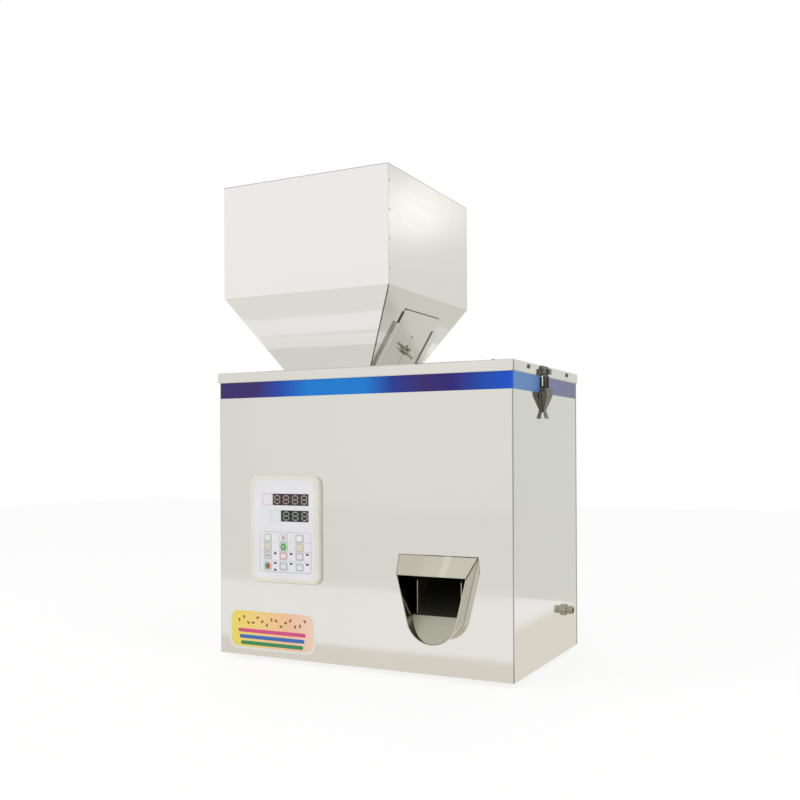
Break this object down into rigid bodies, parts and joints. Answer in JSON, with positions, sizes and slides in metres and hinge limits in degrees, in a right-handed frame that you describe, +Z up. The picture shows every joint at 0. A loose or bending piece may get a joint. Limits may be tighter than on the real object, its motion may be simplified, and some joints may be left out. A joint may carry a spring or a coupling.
{
  "type": "granule filling machine",
  "caption": "Bench-top weigh filler for granules: open hopper with sliding gate on a latched lid, vibrating feed trough, weigh bucket, keypad and front spout.",
  "frame": {"origin": "centre of the bounding box in plan, on the surface the feet stand on", "axes": "+Z up, -Y towards the front with keypad and spout, +X to the right seen from the front"},
  "size_m": [0.3796, 0.241, 0.5428],
  "materials": {
    "stainless": "bright polished stainless sheet",
    "hopper_sheet": "soft satin stainless sheet",
    "spout_sheet": "satin stainless sheet",
    "screw_steel": "nickel-plated steel",
    "latch_steel": "nickel-plated pressed steel",
    "rubber": "black moulded rubber",
    "bezel_plastic": "cream moulded plastic, slight gloss",
    "panel_film": "printed polyester film, satin",
    "key_film": "printed embossed film, satin",
    "display_window": "tinted clear window",
    "display_black": "black display block with grey segments",
    "lamp_lens": "dark lamp lens",
    "circuit_board": "green circuit board",
    "socket_nickel": "nickel-plated brass",
    "inlet_plastic": "black moulded plastic",
    "spring_steel": "ground spring steel",
    "feeder_iron": "painted casting",
    "magnet_resin": "potted coil",
    "zinc_plate": "zinc-plated folded steel",
    "motor_case": "grey motor case",
    "cell_aluminium": "machined aluminium"
  },
  "bodies": {
    "cabinet": {"cabinet_shell": "stainless", "rear_panel": "stainless", "base_plate": "stainless", "spout": "spout_sheet", "inner_chute": "spout_sheet", "weigh_bucket": "spout_sheet", "cabinet_screws": "screw_steel", "foot_screws": "screw_steel", "latch_pins": "screw_steel", "latch_bases": "latch_steel", "rubber_feet": "rubber", "feeder_mounts": "rubber", "control_bezel": "bezel_plastic", "panel_overlay": "panel_film", "display_windows": "display_window", "display_modules": "display_black", "indicator_lamps": "lamp_lens", "panel_board": "circuit_board", "control_board": "circuit_board", "foot_switch_socket": "socket_nickel", "socket_nut": "socket_nickel", "power_inlet": "inlet_plastic", "feeder_leaf_springs": "spring_steel", "feeder_base": "feeder_iron", "feeder_magnet": "magnet_resin", "feeder_stand": "zinc_plate", "load_cell_stand": "zinc_plate", "bucket_arm": "zinc_plate", "dump_motor": "motor_case", "load_cell": "cell_aluminium"},
    "lid": {"lid": "stainless", "lid_screws": "screw_steel", "hopper_front": "hopper_sheet", "hopper_rear": "hopper_sheet", "hopper_left": "hopper_sheet", "hopper_right": "hopper_sheet", "gate_rails": "hopper_sheet", "latch_keepers": "latch_steel"},
    "gate": {"gate_plate": "hopper_sheet"},
    "wing_nut": {"wing_nut": "screw_steel"},
    "right_lever": {"right_latch_lever": "latch_steel"},
    "left_lever": {"left_latch_lever": "latch_steel"},
    "right_bail": {"right_latch_springs": "latch_steel"},
    "left_bail": {"left_latch_springs": "latch_steel"},
    "rocker": {"switch_rocker": "inlet_plastic"},
    "trough": {"feeder_trough": "spout_sheet"},
    "door": {"bucket_door": "spout_sheet", "door_shaft": "screw_steel"},
    "key_1_1": {"key_1_1": "key_film"},
    "key_1_2": {"key_1_2": "key_film"},
    "key_1_3": {"key_1_3": "key_film"},
    "key_2_1": {"key_2_1": "key_film"},
    "key_2_2": {"key_2_2": "key_film"},
    "key_2_3": {"key_2_3": "key_film"},
    "key_3_1": {"key_3_1": "key_film"},
    "key_3_2": {"key_3_2": "key_film"},
    "key_3_3": {"key_3_3": "key_film"},
    "key_4_1": {"key_4_1": "key_film"},
    "key_4_2": {"key_4_2": "key_film"},
    "key_4_3": {"key_4_3": "key_film"}
  },
  "joints": [
    {"name": "lid_lift", "type": "slide", "parent": "cabinet", "child": "lid", "axis": [0, 0, 1], "range_m": [0, 0.14]},
    {"name": "gate_slide", "type": "slide", "parent": "lid", "child": "gate", "axis": [0.5181, 0, 0.8553], "range_m": [-0.015, 0.015]},
    {"name": "wing_nut_turn", "type": "hinge", "parent": "lid", "child": "wing_nut", "pos_m": [0.00517, 0.0075, 0.356], "axis": [0.8553, 0, -0.5181], "continuous": true},
    {"name": "right_latch_lever", "type": "hinge", "parent": "cabinet", "child": "right_lever", "pos_m": [0.1846, -0.0095, 0.301], "axis": [0, -1, 0], "range_deg": [0, 100]},
    {"name": "right_latch_bail", "type": "hinge", "parent": "right_lever", "child": "right_bail", "pos_m": [0.1839, -0.0095, 0.2932], "axis": [0, -1, 0], "range_deg": [-121, 0], "deforming": ["right_latch_springs"]},
    {"name": "left_latch_lever", "type": "hinge", "parent": "cabinet", "child": "left_lever", "pos_m": [-0.1846, -0.0095, 0.301], "axis": [0, 1, 0], "range_deg": [0, 100]},
    {"name": "left_latch_bail", "type": "hinge", "parent": "left_lever", "child": "left_bail", "pos_m": [-0.1839, -0.0095, 0.2932], "axis": [0, 1, 0], "range_deg": [-121, 0], "deforming": ["left_latch_springs"]},
    {"name": "key_1_1_press", "type": "slide", "parent": "cabinet", "child": "key_1_1", "axis": [0, 1, 0], "range_m": [0, 0.00035], "stiffness_N_per_m": 400},
    {"name": "key_1_2_press", "type": "slide", "parent": "cabinet", "child": "key_1_2", "axis": [0, 1, 0], "range_m": [0, 0.00035], "stiffness_N_per_m": 400},
    {"name": "key_1_3_press", "type": "slide", "parent": "cabinet", "child": "key_1_3", "axis": [0, 1, 0], "range_m": [0, 0.00035], "stiffness_N_per_m": 400},
    {"name": "key_2_1_press", "type": "slide", "parent": "cabinet", "child": "key_2_1", "axis": [0, 1, 0], "range_m": [0, 0.00035], "stiffness_N_per_m": 400},
    {"name": "key_2_2_press", "type": "slide", "parent": "cabinet", "child": "key_2_2", "axis": [0, 1, 0], "range_m": [0, 0.00035], "stiffness_N_per_m": 400},
    {"name": "key_2_3_press", "type": "slide", "parent": "cabinet", "child": "key_2_3", "axis": [0, 1, 0], "range_m": [0, 0.00035], "stiffness_N_per_m": 400},
    {"name": "key_3_1_press", "type": "slide", "parent": "cabinet", "child": "key_3_1", "axis": [0, 1, 0], "range_m": [0, 0.00035], "stiffness_N_per_m": 400},
    {"name": "key_3_2_press", "type": "slide", "parent": "cabinet", "child": "key_3_2", "axis": [0, 1, 0], "range_m": [0, 0.00035], "stiffness_N_per_m": 400},
    {"name": "key_3_3_press", "type": "slide", "parent": "cabinet", "child": "key_3_3", "axis": [0, 1, 0], "range_m": [0, 0.00035], "stiffness_N_per_m": 400},
    {"name": "key_4_1_press", "type": "slide", "parent": "cabinet", "child": "key_4_1", "axis": [0, 1, 0], "range_m": [0, 0.00035], "stiffness_N_per_m": 400},
    {"name": "key_4_2_press", "type": "slide", "parent": "cabinet", "child": "key_4_2", "axis": [0, 1, 0], "range_m": [0, 0.00035], "stiffness_N_per_m": 400},
    {"name": "key_4_3_press", "type": "slide", "parent": "cabinet", "child": "key_4_3", "axis": [0, 1, 0], "range_m": [0, 0.00035], "stiffness_N_per_m": 400},
    {"name": "power_switch", "type": "hinge", "parent": "cabinet", "child": "rocker", "pos_m": [0.142, 0.117, 0.076], "axis": [1, 0, 0], "range_deg": [0, 16]},
    {"name": "trough_shake", "type": "slide", "parent": "cabinet", "child": "trough", "axis": [0.9397, 0, 0.342], "range_m": [-0.001, 0.001], "stiffness_N_per_m": 20000, "deforming": ["feeder_leaf_springs"]},
    {"name": "bucket_door_swing", "type": "hinge", "parent": "cabinet", "child": "door", "pos_m": [0.0974, -0.0375, 0.1888], "axis": [-1, 0, 0], "range_deg": [0, 60]}
  ],
  "couplings": [
    {"joint": "right_latch_bail", "follows": "right_latch_lever", "ratio": -1.21},
    {"joint": "left_latch_bail", "follows": "left_latch_lever", "ratio": -1.21}
  ]
}
